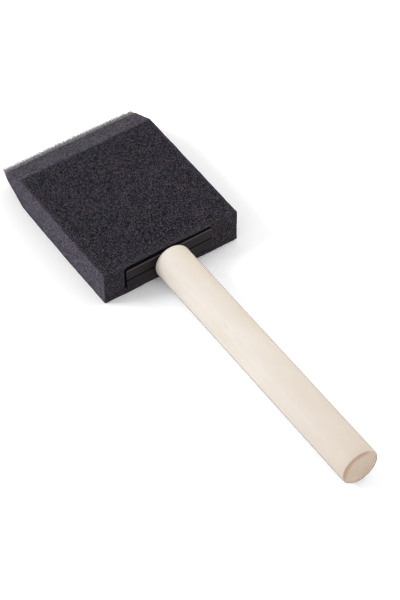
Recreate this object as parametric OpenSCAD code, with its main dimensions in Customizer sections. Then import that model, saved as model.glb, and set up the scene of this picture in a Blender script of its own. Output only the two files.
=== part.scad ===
// Foam sponge brush: a wooden dowel handle, a two-part moulded core glued into a slotted foam
// head, and a chisel tip that bends beyond the core. All sizes are in millimetres.
// +Y runs along the handle towards the foam's tip, +X across the foam and +Z up. The brush lies
// flat, and the origin is the middle of its footprint on the surface below it.

/* [Foam head] */
// Width of the foam
foam_w = 50.8; // [40:0.1:80]
// Thickness of the foam
foam_t = 12.7; // [12:0.1:20]
// Length of the foam from its rear face to its tip
foam_l = 65.4; // [60:0.1:90]
// Length of the two bevels that thin the foam towards its tip
bevel_l = 13; // [6:0.5:20]
// Thickness of the foam at its tip
tip_t = 0.8; // [0.4:0.1:3]

/* [Handle] */
// Diameter of the dowel
handle_d = 12.7; // [10:0.1:16]
// Length of the dowel
handle_l = 102.7; // [60:0.1:200]
// Rounding of the dowel's edge at the core
handle_round = 1.6; // [0.7:0.1:3]
// Rounding of the dowel's edge at its free end
handle_ease = 0.5; // [0.2:0.1:0.6]

/* [Core] */
// Width of the core's end bar and of its blade
core_w = 32.8; // [24:0.1:36]
// Height of the end bar, both halves together
bar_t = 8.4; // [6:0.1:9]
// Length of the end bar along the brush
bar_l = 4; // [3:0.1:6]
// How far the end bar stands out of the foam's rear face
bar_proud = 0.5; // [0.2:0.1:2]
// Length of the blade ahead of the foam's rear face
blade_l = 40; // [30:0.5:44]
// Thickness of the blade at the end bar, both halves together
blade_root_t = 4.8; // [4:0.1:6]
// Thickness of the blade at its front edge, both halves together
blade_front_t = 1.6; // [1.2:0.1:3]
// Sideways distance of the core and the handle from the middle of the foam
core_shift = -1; // [-2:0.1:2]
// Turn of the core about the handle axis, in degrees
core_roll = -1.5; // [-2:0.1:2]

/* [Joining] */
// Diameter of the peg that enters the handle
peg_d = 6.2; // [5:0.1:6.6]
// Length of the peg
peg_l = 20; // [12:0.5:30]
// Thickness of the glue between the blade and the foam
glue_t = 0.4; // [0.4:0.05:0.6]
// Thickness of the glue around the peg
peg_glue_t = 0.2; // [0.1:0.05:0.3]

/* [Hidden] */
$fn = 96;
cut = 1; // overrun of a cutting shape past the surface it cuts

// Places of the main planes
rear_y = (handle_l + bar_proud - foam_l) / 2; // rear face of the foam
axis_z = max(handle_d, foam_t) / 2; // handle axis and seam of the core
bend_y = blade_l + 2; // where the free tip starts to bend, ahead of the rear face

// End bar
bar_back = bar_l - bar_proud; // inner face of the bar, inside the foam
bar_corner_r = 0.8;
seam_corner_r = 0.5;
seam_step = 0.25; // height of the step that each half leaves open along the seam
seam_step_l = 0.8; // depth of that step into the bar
bar_wall = 1.3; // wall around the moulded recesses of the bar

// Pocket in the foam's rear face, a little larger than the bar, square to the foam
pocket_gap = 0.7; // at the sides and below
pocket_rise = 1.1; // above, where the foam stands off the bar
pocket_l = bar_back + 0.4;
pocket_corner_r = bar_corner_r + pocket_gap;

// Blade
blade_corner_r = 8;
rib_t = 0.3; // height of the ribs that key the glue
rib_l = 1;
rib_at = [12, 21, 30];
glue_inset = 2; // bare margin around the glue

// Locating pins of the lower half and their sockets in the upper half
pin_x = 10;
pin_y = 9;
pin_d = 2.4;
pin_h = 1.3;
pin_gap = 0.1;

// Peg and its bore in the handle
peg_tip_l = 1;
bore_d = peg_d + 2 * peg_glue_t;
bore_l = peg_l + 1;
drill_point_angle = 118;

// Half the thickness of the blade at a distance ahead of the foam's rear face
function blade_half_t(y) =
    (blade_root_t + (blade_front_t - blade_root_t) * (y - bar_back) / (blade_l - bar_back)) / 2;

// Places things on the handle axis at the foam's rear face
module at_axis() translate([core_shift, rear_y, axis_z]) children();

// The same, turned as the core is
module at_core() at_axis() rotate([0, core_roll, 0]) children();

// Extrudes a profile drawn in Y and Z across the brush
module across(w) rotate([90, 0, 90]) linear_extrude(w, center = true) children();

// Extrudes an outline drawn in X and Z from y0 forwards
module along(y0, l) translate([0, y0 + l, 0]) rotate([90, 0, 0]) linear_extrude(l) children();

// Rectangle on the X axis whose low and high corners have their own radii
module rounded_rect(w, h, r_low, r_high) {
    translate([-w / 2, r_low]) square([w, h - r_low - r_high]);
    translate([-w / 2 + r_low, 0]) square([w - 2 * r_low, h - r_high]);
    translate([-w / 2 + r_high, r_low]) square([w - 2 * r_high, h - r_low]);
    for (side = [-1, 1]) {
        translate([side * (w / 2 - r_low), r_low]) circle(r_low);
        translate([side * (w / 2 - r_high), h - r_high]) circle(r_high);
    }
}

// Plan of the blade with rounded front corners, made smaller all round by inset
module blade_plan(inset) {
    w = core_w - 2 * inset;
    l = blade_l - inset;
    r = blade_corner_r - inset;
    translate([-w / 2, inset]) square([w, l - r - inset]);
    translate([-w / 2 + r, inset]) square([w - 2 * r, l - inset]);
    for (side = [-1, 1]) translate([side * (w / 2 - r), l - r]) circle(r);
}

// Upper half of the blade's wedge, made thicker by grow
module blade_wedge(grow, inset) intersection() {
    across(core_w) polygon([
        [bar_back - cut, 0], [blade_l, 0], [blade_l, blade_half_t(blade_l) + grow],
        [bar_back - cut, blade_half_t(bar_back - cut) + grow]
    ]);
    linear_extrude(bar_t) blade_plan(inset);
}

// Ribs across the upper face of the blade
module blade_ribs() for (y = rib_at)
    translate([-core_w / 2 + glue_inset, y, 0])
        cube([core_w - 2 * glue_inset, rib_l, blade_half_t(y + rib_l) + rib_t]);

// Upper half of the end bar, recessed on its seam side like a thin-walled moulding
module bar_half() {
    recess_x = peg_d / 2 + bar_wall;
    recess_w = core_w / 2 - bar_wall - recess_x;
    recess_l = bar_l - 2 * bar_wall;
    difference() {
        along(-bar_proud, bar_l) rounded_rect(core_w, bar_t / 2, seam_corner_r, bar_corner_r);
        across(core_w + cut) translate([-bar_proud - cut, -cut])
            square([seam_step_l + cut, seam_step + cut]);
        for (side = [-1, 1])
            translate([side * (recess_x + recess_w / 2), -bar_proud + bar_l / 2, 0])
                cube([recess_w, recess_l, bar_t - 2 * bar_wall], center = true);
    }
}

// Upper half of the round peg
module peg_half() intersection() {
    rotate([90, 0, 0]) {
        cylinder(d = peg_d, h = bar_proud + peg_l - peg_tip_l);
        translate([0, 0, bar_proud + peg_l - peg_tip_l])
            cylinder(d1 = peg_d, d2 = peg_d - 2 * peg_tip_l, h = peg_tip_l);
    }
    translate([-peg_d, -bar_proud - peg_l - cut, 0]) cube([2 * peg_d, peg_l + bar_proud + cut, peg_d]);
}

// What the two halves of the core share, drawn as the upper one on the handle axis
module core_half() {
    bar_half();
    peg_half();
    blade_wedge(0, 0);
    blade_ribs();
}

module locating_pins(d, h) for (side = [-1, 1])
    translate([side * pin_x, pin_y, 0]) cylinder(d = d, h = h);

// Glue on the upper face of the blade, keyed over its ribs
module glue_film() difference() {
    blade_wedge(glue_t, glue_inset);
    translate([0, -cut, 0]) cube([core_w, 2 * (bar_back + 2 * cut), bar_t], center = true);
    blade_wedge(0, 0);
    blade_ribs();
}

// Slot that the blade and its glue fill
module blade_slot() for (upside = [0, 1]) mirror([0, 0, upside]) blade_wedge(glue_t, 0);

// Mouth of the slot in the foam's rear face, around the bar
module pocket() translate([0, 0, -bar_t / 2 - pocket_gap]) along(-cut, pocket_l + cut)
    rounded_rect(
        core_w + 2 * pocket_gap, bar_t + pocket_gap + pocket_rise, pocket_corner_r, pocket_corner_r
    );

// Side view of the whole foam, in Y from the rear face and Z from the handle axis
module foam_side() polygon([
    [0, -foam_t / 2], [foam_l - bevel_l, -foam_t / 2], [foam_l, -tip_t / 2],
    [foam_l, tip_t / 2], [foam_l - bevel_l, foam_t / 2], [0, foam_t / 2]
]);

// A stretch of the foam's side view, from y0 to y1
module foam_stretch(y0, y1) translate([0, rear_y, axis_z]) across(foam_w) intersection() {
    foam_side();
    translate([y0, -foam_t]) square([y1 - y0, 2 * foam_t]);
}

// Dowel handle with a blind bore for the peg
module handle() color("#e9dfcf") at_axis() translate([0, -bar_proud, 0]) rotate([90, 0, 0])
    difference() {
        rotate_extrude() intersection() {
            rounded_rect(handle_d, handle_l, handle_round, handle_ease);
            square([handle_d, handle_l]);
        }
        translate([0, 0, -cut]) cylinder(d = bore_d, h = bore_l + cut);
        translate([0, 0, bore_l])
            cylinder(d1 = bore_d, d2 = 0, h = bore_d / 2 / tan(drill_point_angle / 2));
    }

// Core moulding above the seam, with sockets for the other half's pins
module core_upper_half() color("#1d1c20") at_core() difference() {
    core_half();
    translate([0, 0, -cut]) locating_pins(pin_d + 2 * pin_gap, pin_h + 2 * pin_gap + cut);
}

// Core moulding below the seam, with two locating pins
module core_lower_half() color("#29282c") at_core() {
    mirror([0, 0, 1]) core_half();
    translate([0, 0, -pin_gap]) locating_pins(pin_d, pin_h + pin_gap);
}

// Sleeve of glue that holds the peg in the handle
module peg_glue() color("#d9c98f") at_axis() translate([0, -bar_proud, 0]) rotate([90, 0, 0])
    difference() {
        cylinder(d = bore_d, h = peg_l - peg_tip_l);
        translate([0, 0, -cut]) cylinder(d = peg_d, h = peg_l + 2 * cut);
    }

// Glue between the upper half of the core and the foam
module glue_film_upper() color("#d9c98f") at_core() glue_film();

// Glue between the lower half of the core and the foam
module glue_film_lower() color("#d9c98f") at_core() mirror([0, 0, 1]) glue_film();

// Foam around the core, slotted from the rear
module foam_body() color("#37353c") difference() {
    foam_stretch(0, bend_y);
    at_core() blade_slot();
    at_axis() pocket();
}

// Free end of the foam, bevelled on both faces to a chisel edge
module foam_tip() color("#4a4850") foam_stretch(bend_y, foam_l);

handle();
core_upper_half();
core_lower_half();
peg_glue();
glue_film_upper();
glue_film_lower();
foam_body();
foam_tip();
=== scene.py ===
"""Looks of the foam sponge brush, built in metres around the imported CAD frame."""
import itertools
import math

import bmesh
import bpy
import numpy as np
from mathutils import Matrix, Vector, noise


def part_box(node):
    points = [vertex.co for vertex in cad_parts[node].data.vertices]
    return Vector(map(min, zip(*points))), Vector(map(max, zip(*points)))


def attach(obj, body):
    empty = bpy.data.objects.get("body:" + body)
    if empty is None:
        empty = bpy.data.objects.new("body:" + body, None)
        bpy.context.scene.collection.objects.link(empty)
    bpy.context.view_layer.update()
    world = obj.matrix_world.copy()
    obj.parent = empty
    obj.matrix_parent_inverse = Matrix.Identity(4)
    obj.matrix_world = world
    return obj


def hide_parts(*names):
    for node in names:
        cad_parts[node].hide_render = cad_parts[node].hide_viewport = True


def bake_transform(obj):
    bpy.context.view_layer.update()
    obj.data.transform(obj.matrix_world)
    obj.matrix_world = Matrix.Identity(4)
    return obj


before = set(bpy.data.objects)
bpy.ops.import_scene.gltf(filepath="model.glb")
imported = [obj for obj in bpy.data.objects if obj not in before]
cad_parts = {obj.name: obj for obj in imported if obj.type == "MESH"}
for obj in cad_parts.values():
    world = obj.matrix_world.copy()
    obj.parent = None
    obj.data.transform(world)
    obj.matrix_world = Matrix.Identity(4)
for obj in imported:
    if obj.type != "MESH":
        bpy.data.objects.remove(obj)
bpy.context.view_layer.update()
MM = 0.001
TOUCH = 0.001 * MM  # what is nearer than this is taken to touch


# ---------------------------------------------------------------- places, read from the frame

def vertices_of(node):
    """Every vertex of a CAD node, as rows of x, y, z."""
    return np.array([v.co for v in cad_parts[node].data.vertices])


BODY_LOW, BODY_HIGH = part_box("foam_body")
TIP_LOW, TIP_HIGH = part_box("foam_tip")
HANDLE_LOW, HANDLE_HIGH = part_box("handle")

REAR_Y, BEND_Y, TIP_Y = BODY_LOW.y, TIP_LOW.y, TIP_HIGH.y
FOAM_HALF_W = (BODY_HIGH.x - BODY_LOW.x) / 2
FOAM_X = (BODY_HIGH.x + BODY_LOW.x) / 2
FOAM_BASE, FOAM_TOP = BODY_LOW.z, BODY_HIGH.z
FOAM_MID = (FOAM_BASE + FOAM_TOP) / 2
FOAM_HALF_T = (FOAM_TOP - FOAM_BASE) / 2

TIP_VERTICES = vertices_of("foam_tip")
BEVEL_Y = TIP_VERTICES[TIP_VERTICES[:, 2] > FOAM_TOP - TOUCH, 1].max()
TIP_EDGE = TIP_VERTICES[TIP_VERTICES[:, 1] > TIP_Y - TOUCH, 2]
TIP_HALF_T = (TIP_EDGE.max() - TIP_EDGE.min()) / 2

HANDLE_X = (HANDLE_LOW.x + HANDLE_HIGH.x) / 2
HANDLE_Z = (HANDLE_LOW.z + HANDLE_HIGH.z) / 2
HANDLE_R = (HANDLE_HIGH.x - HANDLE_LOW.x) / 2

BODY_VERTICES = vertices_of("foam_body")
FROM_MIDDLE = np.abs(BODY_VERTICES[:, [0, 2]] - (FOAM_X, FOAM_MID))
IN_SLOT = np.all(FROM_MIDDLE < (FOAM_HALF_W - TOUCH, FOAM_HALF_T - TOUCH), axis=1)
MOUTH = BODY_VERTICES[IN_SLOT & (BODY_VERTICES[:, 1] < REAR_Y + TOUCH)][:, [0, 2]]
MOUTH_CENTRE = (MOUTH.max(axis=0) + MOUTH.min(axis=0)) / 2
MOUTH_HALF_W, MOUTH_HALF_T = (MOUTH.max(axis=0) - MOUTH.min(axis=0)) / 2
POCKET_Y = BODY_VERTICES[IN_SLOT & (BODY_VERTICES[:, 1] > REAR_Y + TOUCH), 1].min()


# ---------------------------------------------------------------- mesh helpers

def mesh_object(name, verts, faces, material, smooth=True):
    """A new object of one material, linked to the scene."""
    mesh = bpy.data.meshes.new(name)
    mesh.from_pydata([tuple(v) for v in verts], [], [tuple(f) for f in faces])
    mesh.validate()
    mesh.update()
    if smooth:
        mesh.shade_smooth()
    else:
        mesh.shade_flat()
    piece = bpy.data.objects.new(name, mesh)
    bpy.context.scene.collection.objects.link(piece)
    mesh.materials.append(material)
    return piece


def apply_modifiers(piece):
    """Puts the result of the modifiers in the mesh and removes them."""
    evaluated = piece.evaluated_get(bpy.context.evaluated_depsgraph_get())
    mesh = bpy.data.meshes.new_from_object(evaluated)
    piece.modifiers.clear()
    piece.data = mesh


def coordinates(mesh):
    co = np.zeros(len(mesh.vertices) * 3)
    mesh.vertices.foreach_get("co", co)
    return co.reshape(-1, 3)


def set_coordinates(mesh, co):
    mesh.vertices.foreach_set("co", np.asarray(co, float).ravel())
    mesh.update()


def normals(mesh):
    n = np.zeros(len(mesh.vertices) * 3)
    mesh.vertex_normals.foreach_get("vector", n)
    return n.reshape(-1, 3)


def edges(mesh):
    e = np.zeros(len(mesh.edges) * 2, int)
    mesh.edges.foreach_get("vertices", e)
    return e.reshape(-1, 2)


def relax(co, pairs, rounds, amount=0.5):
    """Moves each vertex towards the mean of its neighbours, which rounds the edges."""
    count = np.bincount(pairs.ravel(), minlength=len(co))[:, None]
    for _ in range(rounds):
        total = np.zeros_like(co)
        np.add.at(total, pairs[:, 0], co[pairs[:, 1]])
        np.add.at(total, pairs[:, 1], co[pairs[:, 0]])
        co = co + amount * (total / count - co)
    return co


# ---------------------------------------------------------------- material helpers

class Shader:
    """A procedural material with one Principled BSDF, and short calls to add nodes."""

    def __init__(self, name):
        self.material = bpy.data.materials.new(name)
        self.material.use_nodes = True
        self.tree = self.material.node_tree
        self.surface = self.tree.nodes["Principled BSDF"]
        self.place = self.add("ShaderNodeTexCoord").outputs["Object"]

    def add(self, kind, inputs=(), **settings):
        made = self.tree.nodes.new(kind)
        for key, value in settings.items():
            setattr(made, key, value)
        for key, value in dict(inputs).items():
            self.put(made.inputs[key], value)
        return made

    def put(self, socket, value):
        if isinstance(value, bpy.types.NodeSocket):
            self.tree.links.new(value, socket)
        else:
            socket.default_value = value

    def math(self, operation, *values):
        made = self.add("ShaderNodeMath", operation=operation)
        for socket, value in zip(made.inputs, values):
            self.put(socket, value)
        return made.outputs[0]

    def length(self, a, b):
        """Length of the line whose two parts, at a right angle, are a and b."""
        squares = self.math("ADD", self.math("MULTIPLY", a, a), self.math("MULTIPLY", b, b))
        return self.math("SQRT", squares)

    def facing(self):
        """The x, y and z of the direction that the surface faces."""
        normal = self.add("ShaderNodeNewGeometry").outputs["Normal"]
        return self.add("ShaderNodeSeparateXYZ", {"Vector": normal}).outputs

    def stretched(self, scale):
        inputs = {"Vector": self.place, "Scale": scale}
        return self.add("ShaderNodeMapping", inputs).outputs["Vector"]

    def noise(self, scale, detail=2.0, roughness=0.5, vector=None):
        inputs = {"Scale": scale, "Detail": detail, "Roughness": roughness}
        inputs["Vector"] = vector or self.place
        return self.add("ShaderNodeTexNoise", inputs).outputs["Fac"]

    def ramp(self, value, stops):
        """Colours along a value: stops are (position, (r, g, b)) pairs."""
        made = self.add("ShaderNodeValToRGB", {"Fac": value})
        points = made.color_ramp.elements
        while len(points) < len(stops):
            points.new(0.5)
        for point, (position, colour) in zip(points, stops):
            point.position = position
            point.color = (*colour, 1.0)
        return made.outputs["Color"]

    def attribute(self, name):
        return self.add("ShaderNodeAttribute", attribute_name=name).outputs["Fac"]

    def span(self, value, low, high, to_low, to_high):
        inputs = {0: value, 1: low, 2: high, 3: to_low, 4: to_high}
        return self.add("ShaderNodeMapRange", inputs, clamp=True).outputs[0]

    def mix(self, factor, a, b, blend="MIX"):
        made = self.add("ShaderNodeMix", data_type="RGBA", blend_type=blend)
        self.put(made.inputs[0], factor)
        self.put(made.inputs[6], a)
        self.put(made.inputs[7], b)
        return made.outputs[2]

    def bump(self, height, strength, distance):
        inputs = {"Height": height, "Strength": strength, "Distance": distance}
        return self.add("ShaderNodeBump", inputs).outputs["Normal"]

    def finish(self, **inputs):
        for key, value in inputs.items():
            self.put(self.surface.inputs[key.replace("_", " ")], value)
        return self.material


def foam_material():
    """Charcoal open-cell foam: cells of many shades, with painted light: sides and bevel painted paler
    as a painted sheen, and a painted glow on standing edges and on the thin tip.
    """
    s = Shader("foam")
    cells = s.add("ShaderNodeTexVoronoi", {"Vector": s.place, "Scale": 4600.0}, feature="F1")
    shade, tint, level = s.add("ShaderNodeSeparateColor", {"Color": cells.outputs["Color"]}).outputs
    wall = s.span(cells.outputs["Distance"], 0.2, 0.8, 0.0, 1.0)
    fine = s.noise(5200.0, 1.0, 0.5)
    tone = s.math("MULTIPLY_ADD", wall, 0.15, s.math("MULTIPLY", fine, 0.2))
    tone = s.math("MULTIPLY_ADD", shade, 0.85, tone)
    colour = s.ramp(tone, [
        (0.3, (0.0004, 0.0003, 0.0006)), (0.65, (0.0060, 0.0046, 0.0074)), (1.0, (0.118, 0.108, 0.130))
    ])
    drift = s.ramp(s.noise(160.0, 3.0, 0.6), [(0.3, (0.84, 0.86, 0.9)), (0.7, (1.0, 0.99, 1.0))])
    colour = s.mix(1.0, colour, drift, "MULTIPLY")
    patch = s.ramp(s.noise(230.0, 2.0, 0.5), [(0.4, (0.94, 1.0, 1.02)), (0.6, (1.05, 0.97, 1.0))])
    colour = s.mix(1.0, colour, patch, "MULTIPLY")
    hue = s.ramp(tint, [(0.0, (1.10, 0.99, 0.92)), (1.0, (0.92, 1.0, 1.10))])
    colour = s.mix(1.0, colour, hue, "MULTIPLY")
    # painted sheen: the sides and bevel are painted up to 2.2 times paler, for the grazing brightness
    # of the foam's fuzz
    painted_side_sheen = s.span(s.attribute("painted_side_sheen"), 0.0, 1.0, 1.0, 2.2)
    colour = s.mix(1.0, colour, painted_side_sheen, "MULTIPLY")
    # painted highlight: edges that stand out are painted paler, a painted glow where light catches the
    # fuzzy crests
    painted_edge_glow = s.math("MULTIPLY", s.attribute("painted_edge_glow"), s.span(fine, 0.3, 0.6, 0.05, 0.4))
    colour = s.mix(painted_edge_glow, colour, (0.11, 0.10, 0.12, 1.0))
    # painted light: the thin tip is painted pale grey, a painted glow of light shining through the thin
    # foam
    thin = s.math("MULTIPLY", s.attribute("thin"), s.span(shade, 0.0, 1.0, 0.2, 1.0))
    colour = s.mix(thin, colour, (0.24, 0.225, 0.24, 1.0))
    height = s.math("MULTIPLY_ADD", level, 0.6, s.math("ADD", wall, fine))
    return s.finish(
        Base_Color=colour, Roughness=0.95, Specular_IOR_Level=0.1, Sheen_Weight=0.18,
        Sheen_Roughness=0.3, Sheen_Tint=(0.98, 0.86, 1.0, 1.0), Normal=s.bump(height, 0.7, 0.12 * MM),
    )


def painted_glow_strut_material():
    """The bare struts of the foam's thin edge, which light passes between, painted pale grey as a
    painted glow of light shining through them.
    """
    s = Shader("painted_glow_struts")
    # painted light: far paler than the foam itself, a painted glow standing in for light through the
    # thin edge
    colour = s.ramp(s.noise(900.0, 2.0, 0.6), [(0.3, (0.26, 0.25, 0.26)), (0.7, (0.42, 0.405, 0.42))])
    return s.finish(Base_Color=colour, Roughness=0.8, Specular_IOR_Level=0.2)


RING_W = 1.1 * MM
RING_WANDER = 1.2 * MM  # how far the growth rings stray along the dowel
PITH_X, PITH_Z = HANDLE_X - 30 * MM, HANDLE_Z + 11 * MM  # middle of the tree
DARKER_END_L = 50 * MM  # length from the free end over which the wood gets darker towards that end
BLEED_START, BLEED_END = 0.4 * MM, 4 * MM  # stretch from the free end where its colour fades


def wood_material():
    """Bare pale birch: faint growth rings run along it, and its sawn end shows them darker."""
    s = Shader("birch")
    end_y = HANDLE_LOW.y
    axis = s.add("ShaderNodeSeparateXYZ", {"Vector": s.place}).outputs
    wander = s.noise(60.0, 2.0, 0.5, s.stretched((1.0, 0.12, 1.0)))
    stray = s.math("MULTIPLY", wander, RING_WANDER)
    pith_dx = s.math("ADD", s.math("SUBTRACT", axis[0], PITH_X), stray)
    pith_dz = s.math("SUBTRACT", axis[2], PITH_Z)
    ring = s.math("FRACT", s.math("DIVIDE", s.length(pith_dx, pith_dz), RING_W))
    late = s.span(ring, 0.5, 0.95, 0.0, 1.0)
    year = s.span(s.noise(420.0, 1.0, 0.5, s.stretched((1.0, 0.02, 0.35))), 0.38, 0.62, 0.1, 1.0)
    late = s.math("MULTIPLY", late, year)
    fibre = s.noise(2600.0, 3.0, 0.65, s.stretched((1.0, 0.035, 1.0)))
    cloud = s.noise(150.0, 3.0, 0.6, s.stretched((1.0, 0.3, 1.0)))
    fleck = s.span(s.noise(1500.0, 1.0, 0.4, s.stretched((1.0, 0.09, 1.0))), 0.68, 0.8, 0.0, 1.0)
    side = s.ramp(cloud, [
        (0.35, (0.815, 0.73, 0.63)), (0.5, (0.835, 0.76, 0.67)), (0.65, (0.86, 0.79, 0.715))
    ])
    side = s.mix(s.math("MULTIPLY", late, 0.12), side, (0.66, 0.55, 0.42, 1.0))
    side = s.mix(s.math("MULTIPLY", fibre, 0.2), side, (0.70, 0.60, 0.48, 1.0))
    side = s.mix(s.math("MULTIPLY", fleck, 0.25), side, (0.60, 0.47, 0.34, 1.0))
    # darker towards the free end
    toward_free_end = s.span(axis[1], end_y, end_y + DARKER_END_L, 0.5, 0.0)
    side = s.mix(toward_free_end, side, (0.68, 0.57, 0.475, 1.0))
    pores = s.noise(3800.0, 2.0, 0.6)
    end = s.mix(s.math("MULTIPLY", late, 0.65), (0.765, 0.63, 0.51, 1.0), (0.44, 0.28, 0.20, 1.0))
    end = s.mix(s.math("MULTIPLY", pores, 0.3), end, (0.55, 0.41, 0.31, 1.0))
    out_x = s.math("DIVIDE", s.math("SUBTRACT", axis[0], HANDLE_X), HANDLE_R)
    out_z = s.math("DIVIDE", s.math("SUBTRACT", axis[2], HANDLE_Z), HANDLE_R)
    towards_corner = s.math("SUBTRACT", s.math("MULTIPLY", out_z, 1.3), out_x)
    upper_left = s.span(towards_corner, 0.1, 1.0, 0.0, 1.0)
    # a brown arc just inside the edge of the end face, on its upper left
    end_arc = s.math("MULTIPLY", s.span(s.length(out_x, out_z), 0.62, 0.88, 0.0, 0.7), upper_left)
    end = s.mix(end_arc, end, (0.52, 0.29, 0.17, 1.0))
    is_end = s.span(s.math("ABSOLUTE", s.facing()[1]), 0.55, 0.95, 0.0, 1.0)
    near_end = s.span(axis[1], end_y + BLEED_START, end_y + BLEED_END, 0.12, 0.0)
    colour = s.mix(s.math("MAXIMUM", is_end, near_end), side, end)
    height = s.math("ADD", s.math("MULTIPLY", fibre, 0.7), s.math("MULTIPLY", pores, 0.3))
    return s.finish(
        Base_Color=colour, Roughness=s.span(fibre, 0.2, 0.8, 0.52, 0.68), Specular_IOR_Level=0.3,
        Normal=s.bump(height, 0.25, 0.12 * MM),
    )


def plastic_material():
    """Satin black moulded plastic with a faint grain, and eased edges painted paler, most where they
    face up: a painted highlight.
    """
    s = Shader("black_plastic")
    grain = s.noise(2200.0, 3.0, 0.6)
    flow = s.noise(120.0, 2.0, 0.5)
    colour = s.ramp(flow, [(0.3, (0.0105, 0.0075, 0.0105)), (0.7, (0.0185, 0.0137, 0.0185))])
    # painted highlight: eased edges painted paler, most where they face up towards the light
    painted_edge_highlight = s.math("MULTIPLY", s.attribute("edge"), s.span(s.facing()[2], 0.1, 0.6, 0.3, 1.0))
    colour = s.mix(painted_edge_highlight, colour, (0.10, 0.088, 0.096, 1.0))
    return s.finish(
        Base_Color=colour, Roughness=s.span(grain, 0.3, 0.7, 0.32, 0.42), Specular_IOR_Level=0.18,
        Normal=s.bump(grain, 0.12, 0.06 * MM),
    )


def glue_material():
    """Dried amber glue with small bubbles."""
    s = Shader("glue")
    bubbles = s.add("ShaderNodeTexVoronoi", {"Vector": s.place, "Scale": 900.0})
    tone = s.noise(220.0, 3.0, 0.6)
    colour = s.ramp(tone, [(0.3, (0.55, 0.44, 0.24)), (0.7, (0.70, 0.60, 0.38))])
    return s.finish(
        Base_Color=colour, Roughness=0.35, Normal=s.bump(bubbles.outputs["Distance"], 0.4, 0.1 * MM)
    )


def floor_material():
    """Matt white paper."""
    s = Shader("paper")
    tone = s.noise(40.0, 3.0, 0.5)
    colour = s.ramp(tone, [(0.3, (0.93, 0.93, 0.93)), (0.7, (0.94, 0.94, 0.94))])
    return s.finish(Base_Color=colour, Roughness=0.9, Specular_IOR_Level=0.1)


# ---------------------------------------------------------------- foam head

FOAM_GRID = 0.33 * MM
FOAM_SWELL = 0.1 * MM  # what easing the edges takes off the outside
POCKET_CORNER = 1.5 * MM
MOUTH_GRIP = 0.3 * MM  # how far the soft foam closes in on the ends of the bar
CELL = 0.55 * MM  # size of an open cell in the surface
CELL_DEPTH = 0.03 * MM
FOAM_WAVES = ((9 * MM, 0.16 * MM), (2.2 * MM, 0.05 * MM))  # length and height of its unevenness
FOAM_TAPER = 0.0063  # the right side is cut a little longer than the left
FOAM_LEAN = 0.3 * MM  # how far the foam sits askew on the core at each end
SIDE_BULGE = 0.4 * MM  # how far the left side bulges
TIP_WEAR = 0.25 * MM  # half of how far the right corner of the tip is worn back
REAR_LIFT = 0.3 * MM  # how far the core lifts the foam's lower rear edge
LIFT_L = 9 * MM  # length over which that lift fades out
LIFT_CLEAR = 8 * MM  # the left corner rests on the surface over this width
RAGGED_L = 3.6 * MM  # length of the thin edge that ends in open cells
RAGGED_BACK = 1.75 * MM  # how far the solid foam stops short of the tip
RAGGED_DEPTH = 0.5 * MM  # how uneven that stop is
RAGS = ((1.7 * MM, 3.7, 1.0), (0.6 * MM, 9.1, 0.8))  # length, row of the noise and height
SHEEN_FADE_IN_L = 1.5 * MM  # length over which the painted sheen begins at the bevel
EDGE_GLOW_RISE = 0.1 * MM  # how far an edge stands out where its painted glow is palest


def prism(name, outline, low, high, direction):
    """A closed solid along X or Y from low to high: outline pairs the other two coordinates."""
    def point(pair, at):
        return (at, *pair) if direction == "X" else (pair[0], at, pair[1])
    n = len(outline)
    verts = [point(p, low) for p in outline] + [point(p, high) for p in outline]
    faces = [list(range(n)), list(range(n, 2 * n))[::-1]]
    faces += [(i, i + n, (i + 1) % n + n, (i + 1) % n) for i in range(n)]
    mesh = bpy.data.meshes.new(name)
    mesh.from_pydata(verts, [], faces)
    bm = bmesh.new()
    bm.from_mesh(mesh)
    bmesh.ops.recalc_face_normals(bm, faces=bm.faces)
    bm.to_mesh(mesh)
    bm.free()
    solid = bpy.data.objects.new(name, mesh)
    bpy.context.scene.collection.objects.link(solid)
    return solid


def rounded_outline(half_w, half_h, radius, centre, steps=8):
    """Corner arcs of a rounded rectangle around a centre."""
    points = []
    for corner in range(4):
        across = half_w - radius if corner in (0, 3) else radius - half_w
        up = half_h - radius if corner in (0, 1) else radius - half_h
        for i in range(steps + 1):
            angle = math.pi / 2 * (corner + i / steps)
            x = centre[0] + across + radius * math.cos(angle)
            points.append((x, centre[1] + up + radius * math.sin(angle)))
    return points


def foam_blank():
    """The foam's outer shape with the mouth of its slot, as an even fine mesh."""
    low, high = FOAM_BASE, FOAM_TOP + FOAM_SWELL
    rear, front = REAR_Y - FOAM_SWELL, TIP_Y + FOAM_SWELL
    edge = TIP_HALF_T + FOAM_SWELL
    side = [
        (rear, low), (BEVEL_Y, low), (front, FOAM_MID - edge), (front, FOAM_MID + edge),
        (BEVEL_Y, high), (rear, high),
    ]
    half_w = FOAM_HALF_W + FOAM_SWELL
    blank = prism("foam_head", side, FOAM_X - half_w, FOAM_X + half_w, "X")
    outline = rounded_outline(MOUTH_HALF_W - MOUTH_GRIP, MOUTH_HALF_T, POCKET_CORNER, MOUTH_CENTRE)
    cutter = prism("cutter", outline, REAR_Y - 5 * MM, POCKET_Y, "Y")
    cut = blank.modifiers.new("pocket", "BOOLEAN")
    cut.operation, cut.object, cut.solver = "DIFFERENCE", cutter, "EXACT"
    grid = blank.modifiers.new("grid", "REMESH")
    grid.mode, grid.voxel_size = "VOXEL", FOAM_GRID
    apply_modifiers(blank)
    bpy.data.objects.remove(cutter)
    return blank


def cell_height(point):
    """How deep an open cell is at a point of the foam's surface, from 0 to 1."""
    distances, _ = noise.voronoi(point / CELL)
    return max(0.0, 1.0 - 1.35 * distances[0])


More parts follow.
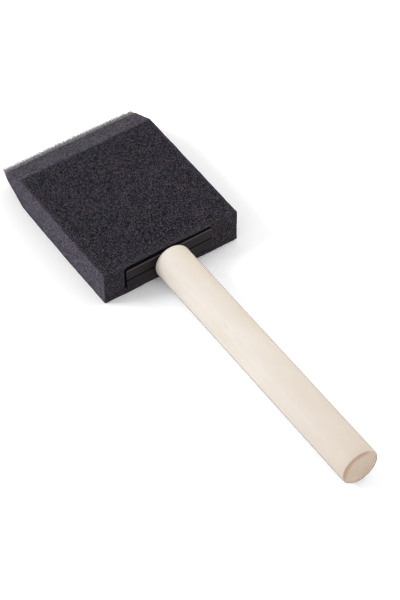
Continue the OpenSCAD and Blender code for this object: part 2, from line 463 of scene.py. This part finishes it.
def hand_cut(co):
    """Leans, tapers and bulges points of the foam as a hand-cut block does."""
    across = (co[:, 0] - FOAM_X) / FOAM_HALF_W
    along = (co[:, 1] - REAR_Y) / (TIP_Y - REAR_Y)
    bevel = np.clip((co[:, 1] - BEVEL_Y) / (TIP_Y - BEVEL_Y), 0, 1)
    moved = co.copy()
    moved[:, 0] += FOAM_LEAN * (2 * along - 1)
    moved[:, 0] -= SIDE_BULGE * np.clip(-across, 0, 1) * np.sin(np.pi * np.clip(along, 0, 1))
    moved[:, 1] += FOAM_TAPER * across * (co[:, 1] - REAR_Y)
    moved[:, 1] -= TIP_WEAR * (across + across ** 2) * bevel
    return moved


def lift(co):
    """How far the lower rear edge stands off the surface: nothing at the left corner."""
    from_left = np.clip((co[:, 0] - FOAM_X + FOAM_HALF_W - LIFT_CLEAR) / LIFT_CLEAR, 0, 1)
    to_right = np.clip((FOAM_X + FOAM_HALF_W - co[:, 0]) / (2 * FOAM_HALF_W), 0, 1)
    share = from_left ** 2 * (3 - 2 * from_left) * (0.6 + 0.8 * to_right)
    share *= np.clip(1 - (co[:, 1] - REAR_Y) / LIFT_L, 0, 1) ** 2
    return REAR_LIFT * share * np.clip((FOAM_MID - co[:, 2]) / FOAM_HALF_T, 0, 1)


def ragged(x):
    """How uneven the thin edge is at each x, about -1 to 1."""
    return sum(
        height * np.array([noise.noise((v / length, row, 0)) for v in x])
        for length, row, height in RAGS
    )


def foam_head():
    """The whole foam: eased edges, open cells in its faces and a thin ragged tip."""
    piece = foam_blank()
    mesh = piece.data
    pairs = edges(mesh)
    co = relax(coordinates(mesh), pairs, rounds=2)
    set_coordinates(mesh, co)
    outward = normals(mesh)
    standing_out = np.einsum("ij,ij->i", co - relax(co, pairs, rounds=8), outward)
    # painted sheen on the bevel, fading in from where the bevel begins
    bevel_sheen_share = 0.6 * np.clip((co[:, 1] - BEVEL_Y) / SHEEN_FADE_IN_L + 0.3, 0, 1)
    push = np.zeros(len(co))
    for i, p in enumerate(co):
        point = Vector(p)
        wave = sum(noise.noise(point / length) * height for length, height in FOAM_WAVES)
        push[i] = wave - CELL_DEPTH * cell_height(point)
    co = co + outward * push[:, None]
    # share of the ragged thin edge, which also sets where the tip is painted pale as a painted glow
    thin = np.clip(1 - (TIP_Y - co[:, 1]) / RAGGED_L, 0, 1)
    co[:, 1] -= thin ** 1.5 * (RAGGED_BACK + RAGGED_DEPTH * ragged(co[:, 0]))
    co = hand_cut(co)
    co[:, 2] = np.maximum(co[:, 2], FOAM_BASE) + lift(co)
    set_coordinates(mesh, co)
    # painted sheen: the sides and bevel are marked to be painted paler
    painted_side_sheen = np.maximum(np.clip(2 * np.abs(outward[:, 0]) - 0.8, 0, 1), bevel_sheen_share)
    # painted highlight: how far each point stands out, for the painted glow on edges
    painted_edge_glow = np.clip(standing_out / EDGE_GLOW_RISE, 0, 1)
    for name, values in (("painted_edge_glow", painted_edge_glow), ("thin", thin), ("painted_side_sheen", painted_side_sheen)):
        made = mesh.attributes.new(name, "FLOAT", "POINT")
        made.data.foreach_set("value", values.astype(np.float32))
    mesh.shade_smooth()
    mesh.materials.clear()
    mesh.materials.append(FOAM)
    return piece


# ---------------------------------------------------------------- open cells at the foam's thin edge

LATTICE = 0.58 * MM  # size of one open cell
STRUT_R = 0.028 * MM
NET_L = 2.6 * MM  # length of the edge that the open cells show at
NET_REACH = 0.9 * MM  # how far the last struts stand out past the cut edge
NET_FADE = 2.7 * MM  # length over which the struts thin out
NET_SKIN = 0.2 * MM  # depth below which the solid foam hides the struts
NET_DEEP = 0.4 * MM  # how far behind the end of the solid foam the net is filled through
NET_PROUD = 0.1 * MM  # how far struts stand out of the bevels
NET_INSET = 0.1 * MM  # how far struts stay inside the two sides
NET_HALF_T = 2 * MM  # half the thickness that the lattice is built to
NET_RAGGED = 0.2 * MM
NET_SEED = 7
JITTER = 0.1 * MM
JITTER_L = 0.17 * MM
JITTER_AT = Vector((5.3, 1.7, 8.9))


def open_cells(low, high):
    """Struts of a lattice between two corners, as pairs of points. Its cells are truncated
    octahedra, which fill space as the bubbles of a foam do."""
    grid = itertools.product(range(-2, 3), repeat=3)
    corners = [p for p in grid if sorted(map(abs, p)) == [0, 1, 2]]
    sides = [(a, b) for a, b in itertools.combinations(corners, 2) if math.dist(a, b) < 1.5]
    counts = [math.ceil((b - a) / LATTICE) for a, b in zip(low, high)]
    struts = set()
    for cell in itertools.product(*(range(n) for n in counts)):
        for offset in (0, 2):
            centre = [4 * c + offset for c in cell]
            for side in sides:
                struts.add(tuple(tuple(c + v for c, v in zip(centre, corner)) for corner in side))
    return np.array(sorted(struts)) * LATTICE / 4 + np.array(low)


def jittered(points):
    """Moves each point by an amount set by its place alone, so that struts stay joined."""
    def shift(p):
        return noise.noise_vector(Vector(p) / JITTER_L + JITTER_AT) * JITTER
    places, index = np.unique(points.reshape(-1, 3), axis=0, return_inverse=True)
    moved = places + np.array([shift(p) for p in places])
    return moved[index].reshape(points.shape)


def tip_net():
    """The last open cells of the thin edge, thinning out towards the tip."""
    noise.seed_set(NET_SEED)  # noise_vector starts from the time of day otherwise
    low = (FOAM_X - FOAM_HALF_W, TIP_Y - NET_L, FOAM_MID - NET_HALF_T)
    high = (FOAM_X + FOAM_HALF_W, TIP_Y + NET_REACH + LATTICE, FOAM_MID + NET_HALF_T)
    struts = jittered(open_cells(low, high))
    middle = struts.mean(axis=1)
    from_tip = TIP_Y - middle[:, 1]
    slope = (FOAM_HALF_T - TIP_HALF_T) / (TIP_Y - BEVEL_Y)
    half_t = TIP_HALF_T + slope * np.maximum(from_tip, 0) + NET_PROUD
    end = NET_RAGGED * ragged(middle[:, 0]) - NET_REACH
    share = np.clip((from_tip - end) / NET_FADE, 0, 1)
    chance = np.random.default_rng(NET_SEED).random(len(struts))
    off_middle = np.abs(middle[:, 2] - FOAM_MID)
    keep = (off_middle < half_t) & (chance < share) & (from_tip < NET_L)
    keep &= np.abs(middle[:, 0] - FOAM_X) < FOAM_HALF_W - NET_INSET
    keep &= (from_tip < RAGGED_BACK + NET_DEEP) | (off_middle > half_t - NET_SKIN)
    struts = struts[keep]
    a, b = hand_cut(struts[:, 0]), hand_cut(struts[:, 1])
    run = (b - a) / np.linalg.norm(b - a, axis=1)[:, None]
    helper = np.where(np.abs(run[:, 2:]) < 0.8, [[0.0, 0.0, 1.0]], [[1.0, 0.0, 0.0]])
    side = np.cross(run, helper)
    side /= np.linalg.norm(side, axis=1)[:, None]
    up = np.cross(run, side)
    rings = []
    for end_point in (a, b):
        for k in range(3):
            angle = 2 * math.pi * k / 3
            rings.append(end_point + STRUT_R * (math.cos(angle) * side + math.sin(angle) * up))
    verts = np.stack(rings, axis=1).reshape(-1, 3)
    strut_faces = [(0, 3, 4, 1), (1, 4, 5, 2), (2, 5, 3, 0), (0, 1, 2), (5, 4, 3)]
    faces = [tuple(6 * i + v for v in face) for i in range(len(a)) for face in strut_faces]
    return mesh_object("foam_tip_cells", verts, faces, PAINTED_GLOW_STRUTS, smooth=False)


# ---------------------------------------------------------------- handle

HANDLE_SIDES = 144
HANDLE_RINGS = 56
END_RINGS = 14
END_EASE = 0.5 * MM
CORE_END_ROUND = 1.6 * MM
BORE_R = 3.3 * MM
BORE_L = 21 * MM
BORE_EASE = 0.2 * MM
TURNED_R = BORE_R + 0.3 * MM  # outside this radius the surface is a little uneven
UNEVEN = 0.035 * MM
UNEVEN_AROUND, UNEVEN_ALONG = 0.9, 35  # how fast that changes around the dowel and along it


def arc(centre_y, centre_r, radius, start, stop, steps):
    """Points (y, r) of an arc, with angles in degrees from the +y direction."""
    angles = [math.radians(start + (stop - start) * i / steps) for i in range(steps + 1)]
    return [(centre_y + radius * math.cos(a), centre_r + radius * math.sin(a)) for a in angles]


def handle():
    """The dowel turned as one lathe profile, from the bottom of its bore to its free end."""
    near, far = HANDLE_HIGH.y, HANDLE_LOW.y
    profile = [(near - BORE_L, 0.0), (near - BORE_L, BORE_R), (near - BORE_EASE, BORE_R)]
    profile += [(near, BORE_R + BORE_EASE), (near, HANDLE_R - CORE_END_ROUND - BORE_EASE)]
    profile += arc(near - CORE_END_ROUND, HANDLE_R - CORE_END_ROUND, CORE_END_ROUND, 0, 90, 10)
    stations = np.linspace(near - CORE_END_ROUND, far + END_EASE, HANDLE_RINGS)[1:-1]
    profile += [(y, HANDLE_R) for y in stations]
    profile += arc(far + END_EASE, HANDLE_R - END_EASE, END_EASE, 90, 180, 6)
    profile += [(far, r) for r in np.linspace(HANDLE_R - END_EASE, 0.0, END_RINGS)[1:]]
    verts, rings = [], []
    for y, r in profile:
        if r == 0:
            rings.append([len(verts)])
            verts.append((HANDLE_X, y, HANDLE_Z))
            continue
        ring = []
        for k in range(HANDLE_SIDES):
            angle = 2 * math.pi * k / HANDLE_SIDES
            across, up = math.cos(angle), math.sin(angle)
            place = Vector((across * UNEVEN_AROUND, y * UNEVEN_ALONG, up * UNEVEN_AROUND))
            uneven = noise.noise(place) * UNEVEN if r > TURNED_R else 0.0
            ring.append(len(verts))
            verts.append((HANDLE_X + (r + uneven) * across, y, HANDLE_Z + (r + uneven) * up))
        rings.append(ring)
    faces = []
    for a, b in zip(rings, rings[1:]):
        for k in range(HANDLE_SIDES):
            n = (k + 1) % HANDLE_SIDES
            if len(a) == 1:
                faces.append((a[0], b[n], b[k]))
            elif len(b) == 1:
                faces.append((a[k], a[n], b[0]))
            else:
                faces.append((a[k], a[n], b[n], b[k]))
    return mesh_object("dowel_handle", verts, faces, WOOD)


# ---------------------------------------------------------------- core

BAR_EASE = 0.25 * MM
EASE_ANGLE = math.radians(40)  # flatter edges are not part of the bar's outline
FLAT_ANGLE = math.radians(1)
SEAM_CLEAR = 1.2 * MM  # the step along the seam keeps its sharp edges


def moulding(node, name):
    """A CAD half of the core, with the outline of its end bar eased as on a moulded part."""
    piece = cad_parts[node].copy()
    piece.data = piece.data.copy()
    piece.name = name
    for key in [k for k in piece.keys() if k.startswith("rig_")]:
        del piece[key]
    piece.parent = None
    bpy.context.scene.collection.objects.link(piece)
    bm = bmesh.new()
    bm.from_mesh(piece.data)
    bmesh.ops.remove_doubles(bm, verts=bm.verts, dist=TOUCH)
    bmesh.ops.dissolve_limit(bm, angle_limit=FLAT_ANGLE, verts=bm.verts, edges=bm.edges)
    # marks the eased faces that get the painted highlight
    painted_edge_highlight = bm.faces.layers.float.new("edge")
    outline = [edge for edge in bm.edges if edge.is_convex and edge.calc_face_angle(0.0) > EASE_ANGLE
               and all(abs(v.co.y - HANDLE_HIGH.y) < TOUCH for v in edge.verts)
               and any(abs(v.co.z - HANDLE_Z) > SEAM_CLEAR for v in edge.verts)]
    eased = bmesh.ops.bevel(
        bm, geom=outline, offset=BAR_EASE, offset_type="OFFSET", segments=2, profile=0.5,
        affect="EDGES", clamp_overlap=False,
    )
    for face in eased["faces"]:
        face[painted_edge_highlight] = 1.0
    for face in bm.faces:
        face.smooth = False
    bm.to_mesh(piece.data)
    bm.free()
    piece.data.materials.clear()
    piece.data.materials.append(PLASTIC)
    return piece


# ---------------------------------------------------------------- studio

FLOOR_HALF = 1.6
FLOOR_STEPS = 8
FLOOR_DROP = 0.2 * MM  # the floor stays just clear of the foam's lower face


def floor():
    """White paper that only catches the shadow of the brush."""
    row = FLOOR_STEPS + 1
    at = np.linspace(-FLOOR_HALF, FLOOR_HALF, row)
    verts = [(x, y, -FLOOR_DROP) for y in at for x in at]
    faces = [
        (j * row + i, j * row + i + 1, (j + 1) * row + i + 1, (j + 1) * row + i)
        for j in range(FLOOR_STEPS) for i in range(FLOOR_STEPS)
    ]
    made = mesh_object("floor", verts, faces, floor_material())
    made.is_shadow_catcher = True


def softbox(name, direction, distance, size, power, colour):
    data = bpy.data.lights.new(name, "AREA")
    data.shape, data.size, data.energy, data.color = "DISK", size, power, colour
    lamp = bpy.data.objects.new(name, data)
    bpy.context.scene.collection.objects.link(lamp)
    towards = Vector(direction).normalized()
    lamp.location = towards * distance
    lamp.rotation_euler = towards.to_track_quat("Z", "Y").to_euler()


PAPER_LIGHT = 1.3  # the paper is lit past white, as in a product photo
SKY_LIGHT = 0.72
HORIZON = 0.05  # height, each way, over which one fades into the other
LAMPS = {
    # direction, size, power, colour
    "back_left": ((-0.85, 0.55, 0.68), 0.5, 5.9, (0.90, 0.93, 1.0)),
    "right": ((0.8, 0.1, 0.6), 0.6, 2.4, (1.0, 0.95, 0.80)),
    "right_low": ((1.0, -0.3, 0.3), 0.8, 1.1, (1.0, 0.95, 0.80)),
}
LAMP_DISTANCE = 1.2


def sky():
    """A white room: past white below the horizon, and dimmer above it."""
    world = bpy.data.worlds.new("studio")
    bpy.context.scene.world = world
    world.use_nodes = True
    tree = world.node_tree
    nodes, links = tree.nodes, tree.links
    direction = nodes.new("ShaderNodeTexCoord").outputs["Generated"]
    height = nodes.new("ShaderNodeSeparateXYZ")
    links.new(direction, height.inputs[0])
    strength = nodes.new("ShaderNodeMapRange")
    links.new(height.outputs[2], strength.inputs["Value"])
    strength.inputs["From Min"].default_value = -HORIZON
    strength.inputs["From Max"].default_value = HORIZON
    strength.inputs["To Min"].default_value = PAPER_LIGHT
    strength.inputs["To Max"].default_value = SKY_LIGHT
    background = nodes["Background"]
    background.inputs["Color"].default_value = (1.0, 1.0, 1.0, 1.0)
    links.new(strength.outputs[0], background.inputs["Strength"])


def studio():
    floor()
    sky()
    for name, (direction, size, power, colour) in LAMPS.items():
        softbox(name, direction, LAMP_DISTANCE, size, power, colour)
    bpy.context.scene.view_settings.view_transform = "Standard"


CAMERA_AIM = Vector((0.0001, 0.0030, 0.0))
CAMERA_AZIMUTH = -32.745
CAMERA_ELEVATION = 47.605
CAMERA_ROLL = -1.167
CAMERA_DISTANCE = 0.7107
FIELD_OF_VIEW = 15.378  # vertical, in degrees


def camera():
    """The camera that the photo was fitted with, turned about the line of sight by its roll."""
    azimuth, elevation = math.radians(CAMERA_AZIMUTH), math.radians(CAMERA_ELEVATION)
    back = Vector((
        math.sin(azimuth) * math.cos(elevation), -math.cos(azimuth) * math.cos(elevation),
        math.sin(elevation),
    ))
    data = bpy.data.cameras.new("camera")
    data.sensor_fit = "VERTICAL"
    data.angle = math.radians(FIELD_OF_VIEW)
    data.clip_start = 0.01
    made = bpy.data.objects.new("camera", data)
    bpy.context.scene.collection.objects.link(made)
    made.location = CAMERA_AIM + back * CAMERA_DISTANCE
    turn = back.to_track_quat("Z", "Y").to_matrix().to_4x4()
    roll = turn.Rotation(math.radians(CAMERA_ROLL), 4, "Z")
    made.rotation_euler = (turn @ roll).to_euler()
    bpy.context.scene.camera = made


# ---------------------------------------------------------------- assembly

camera()
studio()

FOAM = foam_material()
PAINTED_GLOW_STRUTS = painted_glow_strut_material()
WOOD = wood_material()
PLASTIC = plastic_material()
GLUE = glue_material()

foam = foam_head()
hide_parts("foam_body", "foam_tip")
for piece in (foam, tip_net()):
    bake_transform(piece)

dowel = handle()
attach(dowel, "brush")
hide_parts("handle")

for cad_node, piece_name in (("core_upper_half", "core_upper"), ("core_lower_half", "core_lower")):
    half = moulding(cad_node, piece_name)
    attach(half, "brush")
    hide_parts(cad_node)

for cad_node in ("peg_glue", "glue_film_upper", "glue_film_lower"):
    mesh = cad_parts[cad_node].data
    mesh.materials.clear()
    mesh.materials.append(GLUE)
